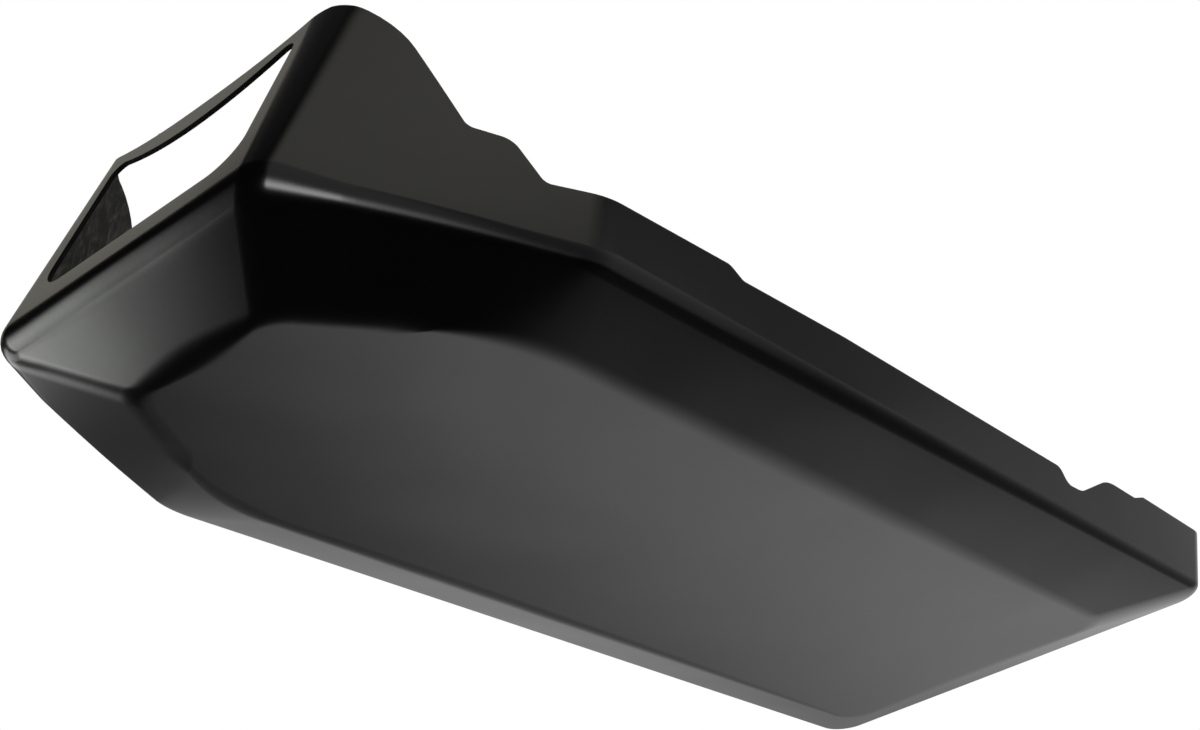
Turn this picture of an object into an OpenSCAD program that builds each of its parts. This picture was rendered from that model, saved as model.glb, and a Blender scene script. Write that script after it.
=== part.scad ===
// Motorcycle belly pan: one moulded shell, open at the top.
// X runs across, Y from the front (negative) to the rear, Z up from the flat underside.
// Distances along the shell are counted from the front shoulder edge.

/* [Overall size] */
// Length between the front and the rear shoulder edge
length = 760; // [560:5:1000]
// Width at the front shoulder corners
front_width = 190; // [120:1:240]
// Width where the walls bend, the widest place
kink_width = 319; // [220:1:400]
// Width at the rear shoulder corners
rear_width = 298; // [200:1:380]
// Distance of the bend from the front shoulder edge
kink_at = 159; // [90:1:260]
// How far the sides swell outward between the front corners and the bend
side_bow = 3; // [0:0.5:8]
// Thickness of the moulded shell
wall = 2.6; // [2:0.1:6]

/* [Shoulder line] */
// Height of the shoulder at the front corners
shoulder_front = 28.5; // [20:0.5:60]
// Height of the shoulder at the bend
shoulder_kink = 18.5; // [10:0.5:40]
// Height of the shoulder at the rear corners
shoulder_rear = 18.5; // [10:0.5:50]

/* [Underside] */
// Width of the flat underside at its front end
base_front_width = 97; // [60:1:160]
// Width of the flat underside at the bend
base_kink_width = 215; // [140:1:300]
// Width of the flat underside at its rear end
base_rear_width = 201; // [140:1:280]
// Distance from the front shoulder edge back to the flat underside
base_front_inset = 51; // [20:1:90]
// Distance of the bend of the flat underside from the front shoulder edge
base_kink_at = 154; // [90:1:250]
// Distance from the rear shoulder edge forward to the flat underside
base_rear_inset = 55; // [20:1:120]

/* [Walls] */
// Backward lean of the front face in degrees
front_lean = 25.2; // [10:0.2:40]
// Backward lean of the rear wall in degrees
rear_lean = 32.7; // [0:1:45]
// Outward lean of the front corners, sideways per unit of height
corner_flare = -0.04; // [-0.1:0.005:0.2]

/* [Edge roundings] */
// Radius of the upright corners beside the front face
front_corner_radius = 15; // [6:1:20]
// Radius of the same corners at the rim, where they are softer
front_rim_radius = 26; // [10:1:32]
// Radius of the bend in the side walls
kink_radius = 55; // [12:1:80]
// Radius of the upright corners at the rear
rear_corner_radius = 18; // [8:1:30]
// Radius of the front corners of the flat underside
base_front_radius = 15; // [10:1:22]
// Radius of the bend of the flat underside
base_kink_radius = 90; // [30:1:130]
// Radius of the rear corners of the flat underside
base_rear_radius = 18; // [14:1:40]
// Radius of the swell of the walls between the front corners and the bend
wall_bow_radius = 1200; // [600:50:1600]
// Radius of the same swell along the flat underside
base_bow_radius = 600; // [300:20:640]
// Radius of the shoulder edge at the front
shoulder_front_radius = 10; // [5:0.5:14]
// Radius of the shoulder edge from the bend to the rear
shoulder_side_radius = 11; // [5:0.5:16]
// Radius of the edge round the flat underside
base_edge_radius = 26; // [8:1:34]

/* [Front opening] */
// Width of the opening near its lower edge
opening_width = 144; // [80:1:160]
// Width of the opening near its upper edge
opening_top_width = 140; // [80:1:160]
// Lower edge of the opening, measured up the slope from the shoulder
opening_low = 30.5; // [12:0.5:50]
// Upper edge of the opening at its ends, measured up the slope
opening_high = 131.5; // [70:0.5:134]
// How far the middle of the upper edge hangs below its ends
opening_sag = 14.5; // [0:0.5:20]
// Radius of the lower corners of the opening
opening_low_radius = 19; // [4:0.5:30]
// Radius of the upper corners of the opening
opening_high_radius = 7; // [3:0.5:20]

/* [Rim] */
// Height of the rim beside the front face, the highest place
rim_front = 165; // [130:1:185]
// Dip of the front face's upper edge in the middle
rim_front_sag = 13.5; // [0:0.5:20]
// Radius of the crest behind the front face
crest_radius = 35; // [15:1:45]
// Height of the ledge halfway down
ledge_height = 90.5; // [75:1:115]
// Distance of the ledge from the front shoulder edge
ledge_at = 110; // [95:1:125]
// Length of the ledge
ledge_length = 21.5; // [12:0.5:26]
// Height of the rim behind the ledge
rim_mid = 64; // [50:0.5:80]
// Distance of the small step from the front shoulder edge
step_at = 272; // [180:1:400]
// Drop of the small step
step_drop = 6; // [1:0.5:12]
// Distance of the rear notch from the front shoulder edge
notch_at = 592.5; // [450:0.5:620]
// Height of the rim at the bottom of the rear notch
notch_height = 45.5; // [40:0.5:58]
// Height of the rim at the rear
rim_rear = 72.5; // [60:0.5:90]

/* [Colour] */
// Colour of the shell
shell_color = "#141513";

/* [Hidden] */
arc_steps = 8;
edge_steps = 5;
wall_reach = 190;
y_shift = -(length + (rim_rear - shoulder_rear) * tan(rear_lean)) / 2;
crease_lean = 0.33;

function unit(v) = v / norm(v);

// Points of the arc that rounds corner v of the path a, v, b
function corner_arc(a, v, b, r, n) =
    let (d1 = unit(v - a))
    let (d2 = unit(b - v))
    let (turn = acos(max(-1, min(1, d1 * d2))))
    turn < 0.01 ? [for (k = [0:n]) v] :
    let (t = r * tan(turn / 2))
    let (side = unit(d2 - d1 * cos(turn)))
    let (c = v - d1 * t + side * r)
    [for (k = [0:n]) c - side * r * cos(turn * k / n) + d1 * r * sin(turn * k / n)];

// Closed outline with every corner rounded, n steps to a corner
function rounded_loop(pts, radii, n) =
    let (m = len(pts))
    [for (i = [0:m - 1]) each corner_arc(pts[(i + m - 1) % m], pts[i], pts[(i + 1) % m], radii[i], n)];

// Open path with its inner points rounded
function rounded_path(pts, radii, n) =
    let (m = len(pts))
    concat([pts[0]],
        [for (i = [1:m - 2]) each corner_arc(pts[i - 1], pts[i], pts[i + 1], radii[i - 1], n)],
        [pts[m - 1]]);

function mirror_x(p) = [-p[0], p[1], p[2]];

// Middle of the side between the front corner f and the bend k, swollen outward
function swell(f, k) =
    let (along = unit([k[0] - f[0], k[1] - f[1]]))
    (f + k) / 2 + side_bow * [along[1], -along[0], 0];

// Corners of one closed plan line from its front, bend and rear corner
function plan(f, k, r) =
    let (m = swell(f, k))
    [f, m, k, r, mirror_x(r), mirror_x(k), mirror_x(m), mirror_x(f)];
function plan_radii(f, bow, k, r) = [f, bow, k, r, r, k, bow, f];

// Direction on the plane with normal n that climbs 1 and runs lean to the rear
function climb(n, lean) = [-(n[1] * lean + n[2]) / n[0], lean, 1];

base_f = [base_front_width / 2, base_front_inset, 0];
base_k = [base_kink_width / 2, base_kink_at, 0];
base_r = [base_rear_width / 2, length - base_rear_inset, 0];
shoulder_f = [front_width / 2, 0, shoulder_front];
shoulder_k = [kink_width / 2, kink_at, shoulder_kink];
shoulder_r = [rear_width / 2, length, shoulder_rear];

// The upright crease lies in both wall planes, and the rear corner in the rear one
front_dir = [corner_flare, tan(front_lean), 1];
front_plane = cross(shoulder_k - shoulder_f, front_dir);
crease_dir = climb(front_plane, crease_lean);
rear_plane = cross(shoulder_r - shoulder_k, crease_dir);
rear_dir = climb(rear_plane, tan(rear_lean));
top_f = shoulder_f + front_dir * (wall_reach - shoulder_front);
top_k = shoulder_k + crease_dir * (wall_reach - shoulder_kink);
top_r = shoulder_r + rear_dir * (wall_reach - shoulder_rear);

base_radii = plan_radii(base_front_radius, base_bow_radius, base_kink_radius, base_rear_radius);
wall_radii = plan_radii(front_corner_radius, wall_bow_radius, kink_radius, rear_corner_radius);
rim_radii = plan_radii(front_rim_radius, wall_bow_radius, kink_radius, rear_corner_radius);
base_loop = rounded_loop(plan(base_f, base_k, base_r), base_radii, arc_steps);
shoulder_loop = rounded_loop(plan(shoulder_f, shoulder_k, shoulder_r), wall_radii, arc_steps);
top_loop = rounded_loop(plan(top_f, top_k, top_r), rim_radii, arc_steps);
stations = len(base_loop);

// Shoulder radius for a station, small at the front corners
function shoulder_radius(i) =
    let (c = floor(i / (arc_steps + 1)))
    (c == 0 || c == 7) ? shoulder_front_radius : shoulder_side_radius;

// One upright section of the outer skin: underside, slope, wall
function section(i) =
    let (p1 = base_loop[i])
    let (p2 = shoulder_loop[i])
    let (p3 = top_loop[i])
    let (inward = unit([p1[0] - p2[0], p1[1] - p2[1], 0]))
    concat(
        corner_arc(p1 + inward * 60, p1, p2, base_edge_radius, edge_steps),
        corner_arc(p1, p2, p3, shoulder_radius(i), edge_steps + 1),
        [p3]);

outer = [for (i = [0:stations - 1]) section(i)];
rows = len(outer[0]);

// Outward direction of the skin at station i, row j
function outward(i, j) =
    j == 0 ? [0, 0, -1] :
    let (p = outer[i][j])
    let (a = unit(outer[(i + 1) % stations][j] - p) + unit(p - outer[(i + stations - 1) % stations][j]))
    let (b = j == rows - 1 ? unit(p - outer[i][j - 1]) : unit(outer[i][j + 1] - p) + unit(p - outer[i][j - 1]))
    unit(cross(a, b));

inner = [for (i = [0:stations - 1]) [for (j = [0:rows - 1]) outer[i][j] - outward(i, j) * wall]];

module skins() {
    pts = concat(
        [for (i = [0:stations - 1]) each outer[i]],
        [for (i = [0:stations - 1]) each inner[i]]);
    half = stations * rows;
    side_faces = [
        for (i = [0:stations - 1])
        for (j = [0:rows - 2])
        let (a = i * rows + j)
        let (d = ((i + 1) % stations) * rows + j)
        each [[a, a + 1, d + 1], [a, d + 1, d],
            [half + a, half + d + 1, half + a + 1], [half + a, half + d, half + d + 1]]];
    rim_faces = [
        for (i = [0:stations - 1])
        let (a = i * rows + rows - 1)
        let (d = ((i + 1) % stations) * rows + rows - 1)
        each [[a, half + a, half + d], [a, half + d, d]]];
    under = [[for (i = [0:stations - 1]) i * rows]];
    floor_face = [[for (i = [stations - 1:-1:0]) half + i * rows]];
    polyhedron(points = pts, faces = concat(side_faces, rim_faces, under, floor_face), convexity = 6);
}

// Everything above the rim line, as seen from the side
module above_rim() {
    far = length + 200;
    ledge_end = ledge_at + ledge_length;
    line = [
        [-60, rim_front],
        [ledge_at - (rim_front - ledge_height) / 3.6, rim_front],
        [ledge_at, ledge_height],
        [ledge_end, ledge_height - 2.5],
        [ledge_end + 10, rim_mid - 1.3],
        [step_at - 3, rim_mid + 1.5],
        [step_at + 6, rim_mid + 1 - step_drop],
        [step_at + 95, rim_mid + 2.6 - step_drop],
        [notch_at, rim_mid - 1.5 - step_drop],
        [notch_at + 4, notch_height],
        [notch_at + 21, notch_height + 0.5],
        [notch_at + 65, rim_rear - 4],
        [notch_at + 100, rim_rear - 5],
        [notch_at + 114, rim_rear],
        [far, rim_rear - 9]];
    radii = [crest_radius, 5, 9, 5, 8, 6, 300, 6, 6, 25, 40, 12, 10];
    path = rounded_path(line, radii, 6);
    rotate([90, 0, 90])
        linear_extrude(height = kink_width + 100, center = true)
            polygon(concat(path, [[far, wall_reach + 30], [-60, wall_reach + 30]]));
}

// The shallow dip in the upper edge of the front face
module above_front_edge() {
    half_span = front_width / 2 - 10;
    steps = 16;
    curve = [for (k = [-steps:steps]) [half_span * k / steps,
        rim_front - rim_front_sag * (1 - pow(abs(k) / steps, 2.5))]];
    translate([0, 90, 0])
        rotate([90, 0, 0])
            linear_extrude(height = 130)
                polygon(concat(curve, [[half_span, wall_reach + 30], [-half_span, wall_reach + 30]]));
}

// The rounded air opening, cut square to the front face
module front_opening() {
    w1 = opening_width / 2;
    w2 = opening_top_width / 2;
    reach = w2 - opening_high_radius - 2;
    steps = 12;
    top_edge = [for (k = [steps:-1:-steps]) [reach * k / steps,
        opening_high - opening_sag * (1 - pow(k / steps, 2))]];
    low_left = [-w1, opening_low];
    low_right = [w1, opening_low];
    high_right = [w2, opening_high + 1];
    high_left = [-w2, opening_high + 1];
    loop = concat(
        corner_arc(low_left + [0, 40], low_left, low_right, opening_low_radius, 8),
        corner_arc(low_left, low_right, high_right, opening_low_radius, 8),
        corner_arc(low_right, high_right, top_edge[0], opening_high_radius, 6),
        top_edge,
        corner_arc(top_edge[2 * steps], high_left, low_left, opening_high_radius, 6));
    translate([0, 0, shoulder_front])
        rotate([90 - front_lean, 0, 0])
            linear_extrude(height = 60, center = true)
                polygon(loop);
}

module belly_pan() {
    color(shell_color)
    translate([0, y_shift, 0])
    difference() {
        skins();
        above_rim();
        above_front_edge();
        front_opening();
    }
}

belly_pan();
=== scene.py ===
from math import acos, cos, radians, sin, tan

import bmesh
import bpy
from mathutils import Matrix, Vector


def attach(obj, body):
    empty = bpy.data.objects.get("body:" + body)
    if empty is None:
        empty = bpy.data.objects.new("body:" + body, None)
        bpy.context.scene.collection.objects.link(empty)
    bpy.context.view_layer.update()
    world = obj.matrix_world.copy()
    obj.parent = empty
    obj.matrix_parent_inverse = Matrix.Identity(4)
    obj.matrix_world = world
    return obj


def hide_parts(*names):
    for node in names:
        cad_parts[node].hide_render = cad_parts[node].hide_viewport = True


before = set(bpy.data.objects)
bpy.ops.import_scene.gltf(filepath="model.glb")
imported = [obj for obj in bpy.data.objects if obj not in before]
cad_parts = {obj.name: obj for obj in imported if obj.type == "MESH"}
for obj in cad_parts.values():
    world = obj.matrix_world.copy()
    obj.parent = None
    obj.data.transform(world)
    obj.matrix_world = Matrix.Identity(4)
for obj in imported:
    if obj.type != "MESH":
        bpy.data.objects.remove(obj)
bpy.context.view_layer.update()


# ---- Camera --------------------------------------------------------------
# The photograph looks at the pan from below and in front, from its right
# side. The lens is the one that the symmetric edges of the shell give.
eye = bpy.data.cameras.new("camera")
eye.sensor_fit = "HORIZONTAL"
eye.sensor_width = 36.0
eye.lens = 65.903
eye.clip_end = 30.0
camera = bpy.data.objects.new("camera", eye)
camera.matrix_world = (Matrix.Translation((0.68427, -0.90761, -0.52594))
                       @ Matrix(((0.7413326, 0.3977143, 0.5406009),
                                  (0.6639603, -0.3171244, -0.6771919),
                                  (-0.0978912, 0.860962, -0.4991611))).to_4x4())
bpy.context.scene.collection.objects.link(camera)
bpy.context.scene.camera = camera
bpy.context.scene.view_settings.view_transform = "Standard"


# ---- Shell ---------------------------------------------------------------
# One moulding of black laminate, 2.6 mm thick and open at the top: a flat
# underside, a sloped band round it, a rounded shoulder and the walls. Out of
# the mould it is trimmed: along the rim, at the front edge and at the opening.
LENGTH = 0.760  # between the front and rear edges of the shoulder
THICKNESS = 0.0026
FRONT_SHOULDER = 0.0285  # height of the shoulder under the front face
SIDE_SHOULDER = 0.0185  # its height from the kink back
RAKE = radians(25.2)  # lean of the front face
KINK_LEAN = 0.33  # how far the kink runs back as it climbs by 1
REAR_LEAN = radians(32.7)  # lean of the rear wall
REAR_RIM = 0.0725  # height of the rim at the rear
REACH = 0.190  # height that the walls are drawn up to before they are trimmed
UNDERSIDE_EDGE = 0.044  # radius of the edge round the underside
SHOULDER_EDGE = 0.011  # radius of the shoulder at the sides and the rear
SOFTER_IN_FRONT = 0.005  # what the front adds to that radius
CORNER_STEPS = 14
RUN_STEPS = 12
EDGE_STEPS = 10
BAND_STEPS = 6
WALL_STEPS = 12


def rounded(before, corner, after, radius, steps):
    """Points of the arc that rounds a corner of a path."""
    inward = (corner - before).normalized()
    onward = (after - corner).normalized()
    turn = acos(max(-1.0, min(1.0, inward.dot(onward))))
    if turn < 0.0002:
        return [corner.copy() for _ in range(steps + 1)]
    side = (onward - inward * cos(turn)).normalized()
    centre = corner - inward * (radius * tan(turn / 2)) + side * radius
    return [centre - side * (radius * cos(turn * k / steps))
            + inward * (radius * sin(turn * k / steps)) for k in range(steps + 1)]


def plan_line(front, kink, rear, bow, radii):
    """Closed line through the rounded corners of one side and their mirror images."""
    along = Vector((kink.x - front.x, kink.y - front.y, 0)).normalized()
    swell = (front + kink) / 2 + bow * Vector((along.y, -along.x, 0))
    side = [front, swell, kink, rear]
    corners = side + [Vector((-p.x, p.y, p.z)) for p in reversed(side)]
    radii = list(radii) + list(reversed(radii))
    arcs = [rounded(corners[i - 1], corners[i], corners[(i + 1) % 8], radii[i], CORNER_STEPS)
            for i in range(8)]
    line = []
    for i, arc in enumerate(arcs):
        onward = arcs[(i + 1) % 8][0]
        line += arc + [arc[-1].lerp(onward, k / RUN_STEPS) for k in range(1, RUN_STEPS)]
    return line


def climb(normal, lean):
    """Direction in a wall plane that climbs by 1 and runs back by lean."""
    return Vector((-(normal.y * lean + normal.z) / normal.x, lean, 1))


# half of each plan line: front corner, kink and rear corner, then how far the
# line swells between the first two, then the radii at front, swell, kink, rear
shoulder_front = Vector((0.095, 0, FRONT_SHOULDER))
shoulder_kink = Vector((0.1595, 0.159, SIDE_SHOULDER))
shoulder_rear = Vector((0.149, LENGTH, SIDE_SHOULDER))
front_way = Vector((-0.04, tan(RAKE), 1))
kink_way = climb((shoulder_kink - shoulder_front).cross(front_way), KINK_LEAN)
rear_way = climb((shoulder_rear - shoulder_kink).cross(kink_way), tan(REAR_LEAN))

underside = plan_line(Vector((0.0485, 0.051, 0)), Vector((0.1075, 0.154, 0)),
                      Vector((0.1005, LENGTH - 0.055, 0)), 0.0006, (0.020, 1.200, 0.150, 0.020))
shoulder = plan_line(shoulder_front, shoulder_kink, shoulder_rear,
                     0.003, (0.015, 1.200, 0.055, 0.018))
top = plan_line(shoulder_front + front_way * (REACH - FRONT_SHOULDER),
                shoulder_kink + kink_way * (REACH - SIDE_SHOULDER),
                shoulder_rear + rear_way * (REACH - SIDE_SHOULDER),
                0.003, (0.026, 1.200, 0.055, 0.018))
to_centre = Vector((0, -(LENGTH + (REAR_RIM - SIDE_SHOULDER) * tan(REAR_LEAN)) / 2, 0))


def in_front(i):
    """1 along the front face, 0 from the swells back, and between them in even steps."""
    corner, step = divmod(i, CORNER_STEPS + RUN_STEPS)
    if corner == 0:
        return min(1.0, (CORNER_STEPS + RUN_STEPS - step) / RUN_STEPS)
    if corner == 6:
        return max(0.0, (step - CORNER_STEPS) / RUN_STEPS)
    return 1.0 if corner == 7 else 0.0


def upright(i):
    """One section of the skin at a place of the plan line: underside edge, band, shoulder, wall."""
    low, mid, high = underside[i], shoulder[i], top[i]
    inward = Vector((low.x - mid.x, low.y - mid.y, 0)).normalized()
    edge = rounded(low + inward * 0.06, low, mid, UNDERSIDE_EDGE, EDGE_STEPS)
    bend = rounded(low, mid, high, SHOULDER_EDGE + SOFTER_IN_FRONT * in_front(i), EDGE_STEPS)
    band = [edge[-1].lerp(bend[0], k / BAND_STEPS) for k in range(1, BAND_STEPS)]
    wall = [bend[-1].lerp(high, k / WALL_STEPS) for k in range(1, WALL_STEPS + 1)]
    return [p + to_centre for p in edge + band + bend + wall]


sections = [upright(i) for i in range(len(underside))]


def ring(name, points):
    """A round primitive whose corners are drawn out to the given points."""
    bpy.ops.object.select_all(action="DESELECT")
    bpy.ops.mesh.primitive_circle_add(vertices=len(points), radius=0.1, fill_type="NGON")
    piece = bpy.context.object
    piece.name = piece.data.name = name
    for vertex, point in zip(piece.data.vertices, points):
        vertex.co = point
    return piece


# the underside first, then row by row up the sections
shell = ring("shell", [section[0] for section in sections])
bpy.ops.object.mode_set(mode="EDIT")
bpy.ops.mesh.select_all(action="SELECT")
bpy.ops.mesh.region_to_loop()
station = list(range(len(sections)))
for row in range(1, len(sections[0])):
    bpy.ops.mesh.extrude_edges_indiv()
    mesh = bmesh.from_edit_mesh(shell.data)
    mesh.verts.index_update()
    mesh.verts.ensure_lookup_table()
    known = len(station)
    for vertex in mesh.verts[known:]:
        below = next(other for other in (edge.other_vert(vertex) for edge in vertex.link_edges)
                     if other.index < known)
        station.append(station[below.index])
        vertex.co = sections[station[-1]][row]
    bmesh.update_edit_mesh(shell.data)
bpy.ops.mesh.select_all(action="DESELECT")
mesh = bmesh.from_edit_mesh(shell.data)
for face in mesh.faces:
    face.select = len(face.verts) > 4
bmesh.update_edit_mesh(shell.data)
for _ in range(2):
    bpy.ops.mesh.inset(thickness=0.004)
bpy.ops.mesh.select_all(action="SELECT")
bpy.ops.mesh.normals_make_consistent(inside=False)
bpy.ops.object.mode_set(mode="OBJECT")


class Shade:
    """A socket of a material, so that shader maths reads as plain expressions."""

    def __init__(self, tree, socket=None):
        self.tree, self.socket = tree, socket

    def node(self, kind, inputs=None, out=0, **settings):
        """Adds a node with its settings first, then the values or links of its sockets."""
        made = self.tree.nodes.new(kind)
        for name, value in settings.items():
            setattr(made, name, value)
        for name, value in (inputs or {}).items():
            if isinstance(value, Shade):
                self.tree.links.new(value.socket, made.inputs[name])
            else:
                made.inputs[name].default_value = value
        return Shade(self.tree, made.outputs[out] if made.outputs else None)

    def maths(self, operation, first, second):
        return self.node("ShaderNodeMath", {0: first, 1: second}, operation=operation)

    def __add__(self, other):
        return self.maths("ADD", self, other)

    def __sub__(self, other):
        return self.maths("SUBTRACT", self, other)

    def __rsub__(self, other):
        return self.maths("SUBTRACT", other, self)

    def __mul__(self, other):
        return self.maths("MULTIPLY", self, other)

    def __neg__(self):
        return 0.0 - self

    __radd__ = __add__
    __rmul__ = __mul__

    def at_least(self, other):
        return self.maths("MAXIMUM", self, other)

    def at_most(self, other):
        return self.maths("MINIMUM", self, other)

    def step(self, low, high):
        """Rises smoothly from 0 at low to 1 at high."""
        return self.node("ShaderNodeMapRange", {"Value": self, "From Min": low, "From Max": high},
                         interpolation_type="SMOOTHSTEP")

    def blend(self, first, second):
        """Colour that goes from the first to the second as this value goes from 0 to 1."""
        return self.node("ShaderNodeMix", {0: self, 6: first, 7: second}, out=2, data_type="RGBA")


def finish(name):
    """A new material with its empty tree."""
    made = bpy.data.materials.new(name)
    made.use_nodes = True
    made.node_tree.nodes.clear()
    return made, Shade(made.node_tree)


# the outside, from the mould: gloss black with a faint swell and a fine peel
skin, tree = finish("black_moulded_skin")
place = tree.node("ShaderNodeTexCoord", out="Object")
cloud = tree.node("ShaderNodeTexNoise", {
    "Vector": place, "Scale": 14.0, "Detail": 4.0, "Roughness": 0.6})
wave = tree.node("ShaderNodeTexNoise", {"Vector": place, "Scale": 9.0, "Detail": 1.0})
peel = tree.node("ShaderNodeTexNoise", {"Vector": place, "Scale": 420.0, "Detail": 2.0})
swell = tree.node("ShaderNodeBump", {"Strength": 1.0, "Distance": 0.0012, "Height": wave})
fine = tree.node("ShaderNodeBump", {
    "Strength": 0.25, "Distance": 0.00006, "Height": peel, "Normal": swell})
surface = tree.node("ShaderNodeBsdfPrincipled", {
    "Base Color": cloud.step(0.35, 0.75).blend(
        (0.0002, 0.0002, 0.0002, 1), (0.0004, 0.0004, 0.0004, 1)),
    "Roughness": cloud * 0.06 + 0.19, "IOR": 1.5, "Normal": fine})
tree.node("ShaderNodeOutputMaterial", {"Surface": surface})

# the inside: bare laminate with strands that lie in two directions
laminate, tree = finish("rough_inner_skin")
place = tree.node("ShaderNodeTexCoord", out="Object")
strands = []
for turn, stretch in (((0.5, 0.3, 0.7), (1.0, 4.0, 1.0)), ((-0.4, 0.6, -0.8), (4.0, 1.0, 1.0))):
    turned = tree.node("ShaderNodeMapping", {
        "Vector": place, "Rotation": turn, "Scale": stretch})
    strands.append(tree.node("ShaderNodeTexNoise", {
        "Vector": turned, "Scale": 90.0, "Detail": 5.0, "Roughness": 0.65}))
weave = strands[0].at_least(strands[1])
rough = tree.node("ShaderNodeBump", {"Strength": 0.8, "Distance": 0.0008, "Height": weave})
surface = tree.node("ShaderNodeBsdfPrincipled", {
    "Base Color": weave.step(0.5, 0.75).blend((0.014, 0.013, 0.011, 1), (0.085, 0.074, 0.058, 1)),
    "Roughness": 0.9 - weave * 0.4, "Normal": rough})
tree.node("ShaderNodeOutputMaterial", {"Surface": surface})

# the cut edges: matt and nearly black
cut, tree = finish("trimmed_edge")
place = tree.node("ShaderNodeTexCoord", out="Object")
grain = tree.node("ShaderNodeTexNoise", {"Vector": place, "Scale": 60.0, "Detail": 3.0})
scuff = tree.node("ShaderNodeBump", {"Strength": 0.05, "Distance": 0.00005, "Height": grain})
surface = tree.node("ShaderNodeBsdfPrincipled", {
    "Base Color": grain.step(0.35, 0.65).blend(
        (0.002, 0.002, 0.002, 1), (0.0035, 0.0035, 0.0033, 1)),
    "Roughness": 0.7 + grain * 0.1, "Specular IOR Level": 0.1, "Normal": scuff})
tree.node("ShaderNodeOutputMaterial", {"Surface": surface})

for material in (skin, laminate, cut):
    shell.data.materials.append(material)


def pick(piece):
    """Selects the piece alone and makes it the active one."""
    bpy.ops.object.select_all(action="DESELECT")
    piece.select_set(True)
    bpy.context.view_layer.objects.active = piece


def finish_with(piece, kind, **settings):
    """Adds a modifier to the piece, sets it and applies it."""
    modifier = piece.modifiers.new(kind.lower(), kind)
    for name, value in settings.items():
        setattr(modifier, name, value)
    pick(piece)
    bpy.ops.object.modifier_apply(modifier=modifier.name)


finish_with(shell, "SOLIDIFY", thickness=THICKNESS, offset=-1.0, use_even_offset=True,
            material_offset=1, material_offset_rim=2)


def cutter(name, outline, push):
    """A block with the given outline, drawn out along push."""
    block = ring(name, outline)
    bpy.ops.object.mode_set(mode="EDIT")
    bpy.ops.mesh.select_all(action="SELECT")
    bpy.ops.mesh.extrude_region_move(TRANSFORM_OT_translate={"value": push})
    bpy.ops.mesh.select_all(action="SELECT")
    bpy.ops.mesh.normals_make_consistent(inside=False)
    bpy.ops.object.mode_set(mode="OBJECT")
    block.data.materials.append(cut)
    return block


def trim(piece, block):
    """Cuts the block out of the piece and removes it."""
    finish_with(piece, "BOOLEAN", operation="DIFFERENCE", object=block, solver="EXACT",
                material_mode="TRANSFER")
    bpy.data.objects.remove(block)


# the rim, as seen from the side: places along and up, and the radii between
CREST = 0.165
BEYOND = 0.22  # clear of the skin, to the side and above
rim = [(-0.060, CREST), (0.110 - 0.0745 / 3.6, CREST), (0.110, 0.0905), (0.1315, 0.088),
       (0.1415, 0.0627), (0.269, 0.0655), (0.278, 0.059), (0.367, 0.0606),
       (0.5925, 0.0565), (0.5965, 0.0455), (0.6135, 0.046), (0.6575, 0.0685),
       (0.6925, 0.0675), (0.7065, REAR_RIM), (0.960, 0.0635)]
bends = (0.035, 0.005, 0.009, 0.005, 0.008, 0.006, 0.300, 0.006, 0.006, 0.025, 0.040, 0.012, 0.010)
rim = [Vector((-BEYOND, y, z)) for y, z in rim]
line = [rim[0]]
for i, bend in enumerate(bends):
    line += rounded(rim[i], rim[i + 1], rim[i + 2], bend, 8)
line += [rim[-1], Vector((-BEYOND, 0.960, BEYOND)), Vector((-BEYOND, -0.060, BEYOND))]
trim(shell, cutter("above_rim", [p + to_centre for p in line], (2 * BEYOND, 0, 0)))

# the shallow dip in the upper edge of the front face
DIP_REACH, DIP_DEPTH, DIP_FRONT, DIP_STEPS = 0.085, 0.0135, -0.040, 24
dip = [Vector((DIP_REACH * k / DIP_STEPS, DIP_FRONT,
               CREST - DIP_DEPTH * (1 - abs(k / DIP_STEPS) ** 2.5)))
       for k in range(-DIP_STEPS, DIP_STEPS + 1)]
dip += [Vector((DIP_REACH, DIP_FRONT, BEYOND)), Vector((-DIP_REACH, DIP_FRONT, BEYOND))]
trim(shell, cutter("above_front_edge", [p + to_centre for p in dip], (0, 0.130, 0)))

# the air opening, drawn flat and turned to be cut square to the front face
LOW_RADIUS, HIGH_RADIUS = 0.019, 0.007
LINTEL_REACH, LINTEL_HIGH, LINTEL_SAG, LINTEL_STEPS = 0.061, 0.1315, 0.0145, 20
low_left, low_right = Vector((-0.072, 0.0305, 0)), Vector((0.072, 0.0305, 0))
high_right, high_left = Vector((0.070, 0.1325, 0)), Vector((-0.070, 0.1325, 0))
lintel = [Vector((LINTEL_REACH * k / LINTEL_STEPS,
                  LINTEL_HIGH - LINTEL_SAG * (1 - (k / LINTEL_STEPS) ** 2), 0))
          for k in range(LINTEL_STEPS, -LINTEL_STEPS - 1, -1)]
opening = (rounded(low_left + Vector((0, 0.04, 0)), low_left, low_right, LOW_RADIUS, 12)
           + rounded(low_left, low_right, high_right, LOW_RADIUS, 12)
           + rounded(low_right, high_right, lintel[0], HIGH_RADIUS, 8) + lintel
           + rounded(lintel[-1], high_left, low_left, HIGH_RADIUS, 8))
to_face = Matrix.Rotation(radians(90) - RAKE, 3, "X")
opening = [to_face @ (p + Vector((0, 0, -0.03))) + Vector((0, 0, FRONT_SHOULDER)) + to_centre
           for p in opening]
trim(shell, cutter("opening", opening, to_face @ Vector((0, 0, 0.06))))

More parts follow.
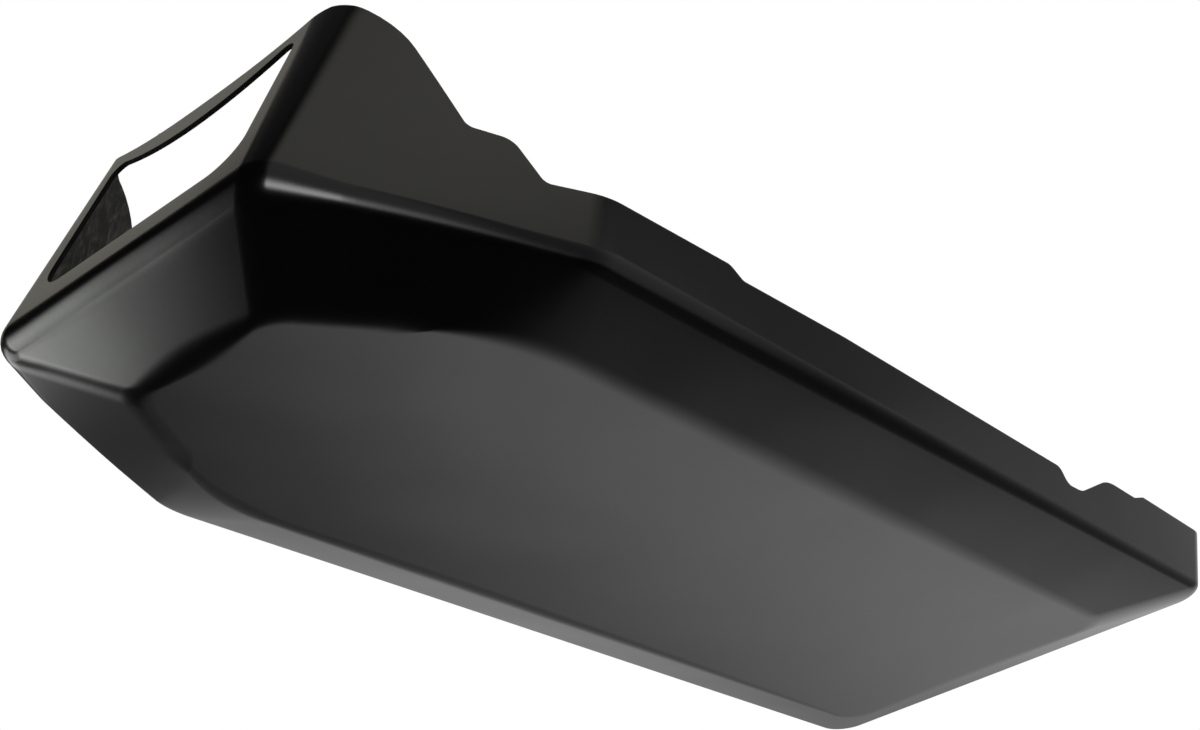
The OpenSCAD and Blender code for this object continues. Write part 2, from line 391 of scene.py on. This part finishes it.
# the slivers that the cuts leave are merged and the cut edges rounded a little
pick(shell)
bpy.ops.object.mode_set(mode="EDIT")
bpy.ops.mesh.select_all(action="SELECT")
bpy.ops.mesh.remove_doubles(threshold=0.0002)
bpy.ops.object.mode_set(mode="OBJECT")
finish_with(shell, "BEVEL", width=0.0004, segments=2, limit_method="ANGLE", angle_limit=radians(50),
            use_clamp_overlap=False)
bpy.ops.object.shade_smooth_by_angle(angle=radians(40))
finish_with(shell, "WEIGHTED_NORMAL", keep_sharp=True, weight=80)
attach(shell, "root")
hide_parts("belly_pan")


# ---- Studio --------------------------------------------------------------
# A pale floor, a white room, cards whose glow only the gloss of the shell shows,
# and two lamps for what is matt. The photograph looks from below the floor, so
# the floor shows only its upper side, and light passes.
room = bpy.data.worlds.new("white_room")
room.use_nodes = True
room.node_tree.nodes.clear()
tree = Shade(room.node_tree)
way = tree.node("ShaderNodeTexCoord", out="Generated")
ahead = tree.node("ShaderNodeSeparateXYZ", {0: way}, out="Y")
up = tree.node("ShaderNodeSeparateXYZ", {0: way}, out="Z")
seen = tree.node("ShaderNodeLightPath", out="Is Camera Ray")
mirrored = tree.node("ShaderNodeLightPath", out="Is Glossy Ray")
ceiling = up.step(0.0, 0.45) * ahead.step(-0.40, 0.05) * (0.09 + 0.25 * ahead.step(0.76, 0.86))
level = seen.at_least(mirrored * (ceiling + 0.001) + (1.0 - mirrored) * 0.8)
glow = tree.node("ShaderNodeBackground", {"Color": (1, 1, 1, 1), "Strength": level})
tree.node("ShaderNodeOutputWorld", {"Surface": glow})
bpy.context.scene.world = room

bpy.ops.object.select_all(action="DESELECT")
bpy.ops.mesh.primitive_plane_add(size=8.0, location=(0, 0, -0.0008))
floor_sheet = bpy.context.object
floor_sheet.name = "floor"
floor_sheet.data.transform(floor_sheet.matrix_world)
floor_sheet.matrix_world = Matrix.Identity(4)
pale, tree = finish("pale_floor")
seen = tree.node("ShaderNodeLightPath", out="Is Camera Ray")
under = tree.node("ShaderNodeNewGeometry", out="Backfacing")
place = tree.node("ShaderNodeTexCoord", out="Object")
speck = tree.node("ShaderNodeTexNoise", {"Vector": place, "Scale": 3.0, "Detail": 2.0})
board = tree.node("ShaderNodeBsdfPrincipled", {
    "Base Color": speck.blend((0.80, 0.80, 0.80, 1), (0.84, 0.84, 0.84, 1)), "Roughness": 1.0,
    "Specular IOR Level": 0.0})
clear = tree.node("ShaderNodeBsdfTransparent")
mixed = tree.node("ShaderNodeMixShader", {0: seen * (1.0 - under), 1: clear, 2: board})
tree.node("ShaderNodeOutputMaterial", {"Surface": mixed})
floor_sheet.data.materials.append(pale)


def soft_card(name, corners):
    """A sheet that only the gloss of the shell shows; gives its empty tree and x, y, z."""
    bpy.ops.object.select_all(action="DESELECT")
    bpy.ops.mesh.primitive_plane_add(size=1.0)
    sheet = bpy.context.object
    sheet.name = sheet.data.name = name
    for vertex, corner in zip(sheet.data.vertices, corners):
        vertex.co = corner
    paint, tree = finish(name)
    place = tree.node("ShaderNodeTexCoord", out="Object")
    sheet.data.materials.append(paint)
    sheet.visible_camera = sheet.visible_diffuse = False
    sheet.visible_shadow = sheet.visible_transmission = False
    return tree, [tree.node("ShaderNodeSeparateXYZ", {0: place}, out=axis) for axis in "XYZ"]


def glows(tree, level, colour=(1, 1, 1, 1)):
    """Ends a card with its glow."""
    glow = tree.node("ShaderNodeEmission", {"Color": colour, "Strength": level})
    tree.node("ShaderNodeOutputMaterial", {"Surface": glow})


# behind the pan: a glow with a ridge, for the underside
tree, (across, ahead, up) = soft_card("rear_card", (
    (-2.0, 0.70, -1.40), (1.0, 0.70, -1.40), (-2.0, 0.70, 0.50), (1.0, 0.70, 0.50)))
ridge = across * 0.92 - up
glows(tree, (0.2 + 0.8 * ridge.step(-0.40, 0.10)) * (1.0 - 0.85 * ridge.step(0.05, 0.95))
      * (1.0 - 0.3 * (-across).step(0.8, 1.3)) * (1.0 - 0.7 * across.step(0.0, 0.3))
      + 0.40 * up.step(-0.2, 0.05) * (1.0 - across.step(-0.9, -0.1)))

# below and before the nose: one glow that grows to the left, for the front band
FRONT_GLOW = 68.0
for name, corners in (
        ("front_card", ((-0.62, -0.90, -0.30), (-0.10, -0.90, -0.30),
                        (-0.62, -0.20, -0.30), (-0.10, -0.20, -0.30))),
        ("front_screen", ((-0.80, -0.90, -0.30), (-0.10, -0.90, -0.30),
                          (-0.80, -0.90, 0.60), (-0.10, -0.90, 0.60)))):
    tree, (across, ahead, up) = soft_card(name, corners)
    if name == "front_card":
        shift = (-ahead - 0.50).at_least(0.0) * 0.45
    else:
        shift = (-up).step(0.0, 0.30) * 0.08 + 0.15
    left = (-across - shift - 0.165).at_least(0.0).at_most(0.25)
    glows(tree, left * left * FRONT_GLOW * (1.0 + 0.6 * left.step(0.19, 0.26))
          * (1.0 - ahead.step(-0.43, -0.34)) * (1.0 - up.step(0.0, 0.50)), (0.97, 1.0, 0.96, 1))

# on the left, low: a glow that grows to the front, for the left band
tree, (across, ahead, up) = soft_card("far_card", (
    (-0.70, -0.60, -0.35), (-0.70, 0.04, -0.35), (-0.70, -0.60, 0.20), (-0.70, 0.04, 0.20)))
near = (-ahead - 0.05).at_least(0.0).at_most(0.16)
glows(tree, (0.10 + near * near * near * 500.0) * up.step(-0.35, -0.20)
      * (1.0 - up.step(0.05, 0.20)))

# on the left, high: for the front face
tree, (across, ahead, up) = soft_card("left_card", (
    (-0.90, -0.90, 0.50), (-0.15, -0.90, 0.50), (-0.90, 0.10, 0.50), (-0.15, 0.10, 0.50)))
back = (ahead + 0.365).at_least(0.0)
glows(tree, 0.40 * (back * 4.0 - across).step(0.22, 0.36) * (1.0 - ahead.step(-0.25, 0.05))
      * ahead.step(-0.435, -0.385), (1.0, 0.97, 0.85, 1))

# above, on the right: for the right wall
tree, (across, ahead, up) = soft_card("top_card", (
    (0.40, -1.40, 2.00), (2.20, -1.40, 2.00), (0.40, 1.10, 2.00), (2.20, 1.10, 2.00)))
glows(tree, 0.60 * ahead.step(-1.20, -0.45) * (1.0 - 0.55 * ahead.step(0.45, 0.80))
      * (1.0 - ahead.step(0.8, 1.1)) * across.step(0.55, 1.15)
      * (1.0 - 0.6 * across.step(1.5, 2.1)), (1.0, 0.98, 0.90, 1))

# on the right: a glow that grows to the front, for the right shoulder
tree, (across, ahead, up) = soft_card("side_card", (
    (0.90, -0.82, -0.60), (0.90, 1.00, -0.60), (0.90, -0.82, 1.00), (0.90, 1.00, 1.00)))
near = (-ahead - 0.22).at_least(0.0)
glows(tree, (6.0 * near + 7.0 * (-ahead).step(0.50, 0.64))
      * (1.0 - up.step(-0.35, 0.05)) * up.step(-0.55, -0.30)
      + (0.16 + 0.26 * (-ahead).step(0.22, 0.40) + 0.22 * ahead.step(-0.1, 0.6))
      * up.step(-0.55, -0.25))

# a black flag keeps the front card out of the side wall
tree, _ = soft_card("flag", (
    (-0.75, -0.36, -0.32), (-0.17, -0.36, -0.32), (-0.75, -0.36, -0.02), (-0.17, -0.36, -0.02)))
glows(tree, 0.0)


def soft_lamp(name, place, target, size, watts):
    """A rectangular lamp at a place, turned to a target, that no gloss shows."""
    lamp = bpy.data.lights.new(name, "AREA")
    lamp.shape, lamp.size, lamp.size_y = "RECTANGLE", size, size
    lamp.energy, lamp.color = watts, (1.0, 0.98, 0.92)
    made = bpy.data.objects.new(name, lamp)
    turn = (Vector(target) - Vector(place)).to_track_quat("-Z", "Y")
    made.matrix_world = Matrix.Translation(place) @ turn.to_matrix().to_4x4()
    made.visible_camera = made.visible_glossy = False
    bpy.context.scene.collection.objects.link(made)


soft_lamp("side_box", (1.1, 0.1, 1.35), (0, -0.2, 0), 1.3, 3.0)
soft_lamp("left_box", (-0.76, -0.25, 1.02), (0, -0.38, 0.1), 0.7, 1.0)
